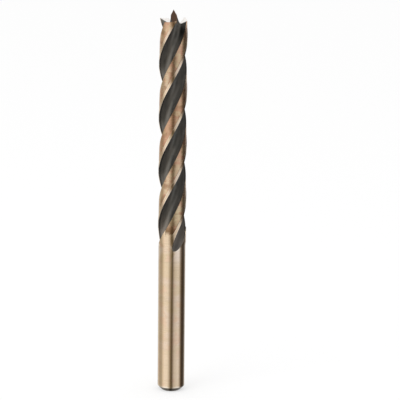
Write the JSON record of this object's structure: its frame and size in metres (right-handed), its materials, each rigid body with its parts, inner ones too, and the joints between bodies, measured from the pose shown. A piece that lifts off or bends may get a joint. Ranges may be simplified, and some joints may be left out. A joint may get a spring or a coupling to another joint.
{
  "type": "wood drill bit",
  "caption": "Brad-point wood drill bit with a plain round shank, three right-hand spiral flutes, outer spurs and a sharp centring point.",
  "frame": {"origin": "middle of the shank's end face, on the bit's axis", "axes": "+Z along the axis from the shank to the brad point; the picture is seen from the -Y side with +X to the right"},
  "size_m": [0.009, 0.009, 0.125],
  "materials": {
    "steel": "ground steel with a bronze tint, darkened in the flutes"
  },
  "bodies": {
    "root": {"drill_bit": "steel"}
  },
  "joints": []
}
